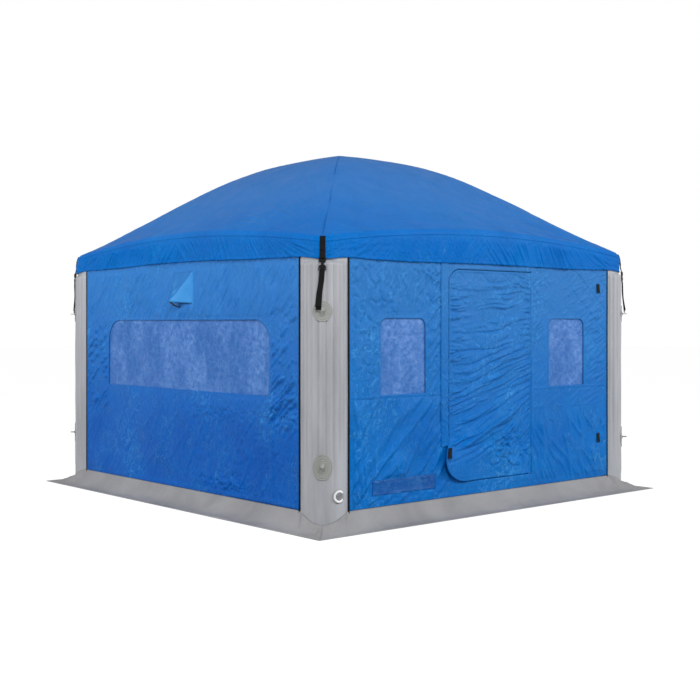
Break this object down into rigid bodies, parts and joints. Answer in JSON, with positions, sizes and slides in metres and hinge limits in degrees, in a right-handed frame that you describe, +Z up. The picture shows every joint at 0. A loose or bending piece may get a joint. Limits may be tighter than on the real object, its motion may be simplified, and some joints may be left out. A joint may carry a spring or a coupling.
{
  "type": "ice fishing hut",
  "caption": "Square inflatable ice fishing hut with a domed canopy, zipped insulated walls, a swinging door flap, clear windows and a snow skirt.",
  "frame": {"origin": "centre of the plan on the ground", "axes": "+Z up, -Y out of the front wall with the door, +X to the right when facing the front from outside"},
  "size_m": [4.04, 4.04, 3.067],
  "materials": {
    "inflated_vinyl": "satin coated fabric",
    "canopy_fabric": "tight glossy nylon",
    "wall_fabric": "quilted nylon",
    "window_vinyl": "clear vinyl",
    "skirt_fabric": "coated woven polyester",
    "welded_vinyl": "smooth",
    "black_webbing": "woven",
    "black_mesh": "mesh",
    "black_plastic": "moulded",
    "black_metal": "painted"
  },
  "bodies": {
    "shelter": {"front_left_column": "inflated_vinyl", "front_right_column": "inflated_vinyl", "back_left_column": "inflated_vinyl", "back_right_column": "inflated_vinyl", "front_left_hip_beam": "inflated_vinyl", "front_right_hip_beam": "inflated_vinyl", "back_left_hip_beam": "inflated_vinyl", "back_right_hip_beam": "inflated_vinyl", "crown_hub": "inflated_vinyl", "front_eave_beam": "inflated_vinyl", "back_eave_beam": "inflated_vinyl", "left_eave_beam": "inflated_vinyl", "right_eave_beam": "inflated_vinyl", "front_roof": "canopy_fabric", "back_roof": "canopy_fabric", "left_roof": "canopy_fabric", "right_roof": "canopy_fabric", "front_valance": "canopy_fabric", "back_valance": "canopy_fabric", "left_valance": "canopy_fabric", "right_valance": "canopy_fabric", "front_wall_left": "wall_fabric", "front_wall_right": "wall_fabric", "door_header": "wall_fabric", "door_threshold": "wall_fabric", "left_wall": "wall_fabric", "right_wall": "wall_fabric", "back_wall": "wall_fabric", "front_windows": "window_vinyl", "long_windows": "window_vinyl", "vent_flaps": "wall_fabric", "vent_screens": "black_mesh", "wall_zips": "black_webbing", "wall_tabs": "black_webbing", "front_skirt": "skirt_fabric", "back_skirt": "skirt_fabric", "left_skirt": "skirt_fabric", "right_skirt": "skirt_fabric", "anchor_patches": "welded_vinyl", "d_rings": "black_metal", "corner_straps": "black_webbing", "strap_buckles": "black_plastic", "inflation_valve": "welded_vinyl"},
    "door": {"door_panel": "wall_fabric", "door_tab": "black_webbing"}
  },
  "joints": [
    {"name": "door_hinge", "type": "hinge", "parent": "shelter", "child": "door", "pos_m": [0.502, -1.83, 1], "axis": [0, 0, 1], "range_deg": [0, 110]}
  ]
}
